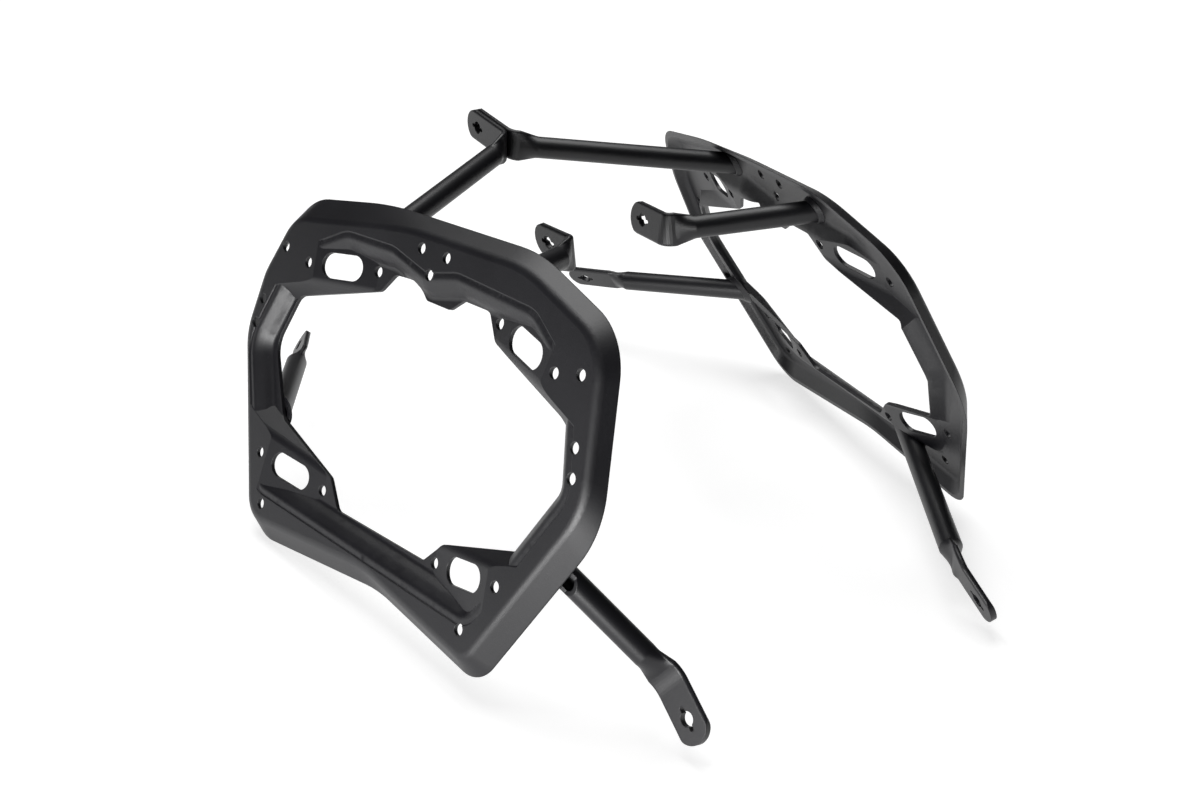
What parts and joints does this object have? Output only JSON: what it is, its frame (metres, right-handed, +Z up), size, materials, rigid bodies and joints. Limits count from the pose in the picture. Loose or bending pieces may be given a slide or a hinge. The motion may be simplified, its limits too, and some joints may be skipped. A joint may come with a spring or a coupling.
{
  "type": "motorbike pannier frame",
  "caption": "Mirrored ring plates of pressed black steel with lock slots, carried by tube struts with crushed keyed tabs that bolt to a motorbike's tail and frame.",
  "frame": {"origin": "centre of the tail bolt hole, where the two tail tabs meet", "axes": "+X to the right along the tail bolt, +Y rearward, +Z up, as fitted to the bike"},
  "size_m": [0.5442, 0.6174, 0.2792],
  "materials": {
    "plate_coat": "satin black powder coat",
    "strut_coat": "satin black powder coat",
    "weld_coat": "satin black powder coat over a rough bead"
  },
  "bodies": {
    "root": {"left_plate": "plate_coat", "left_tail_strut": "strut_coat", "left_tail_weld": "weld_coat", "left_upper_strut": "strut_coat", "left_upper_weld": "weld_coat", "left_middle_strut": "strut_coat", "left_middle_weld": "weld_coat", "left_lower_strut": "strut_coat", "left_lower_weld": "weld_coat", "right_plate": "plate_coat", "right_tail_strut": "strut_coat", "right_tail_weld": "weld_coat", "right_upper_strut": "strut_coat", "right_upper_weld": "weld_coat", "right_middle_strut": "strut_coat", "right_middle_weld": "weld_coat", "right_lower_strut": "strut_coat", "right_lower_weld": "weld_coat"}
  },
  "joints": []
}
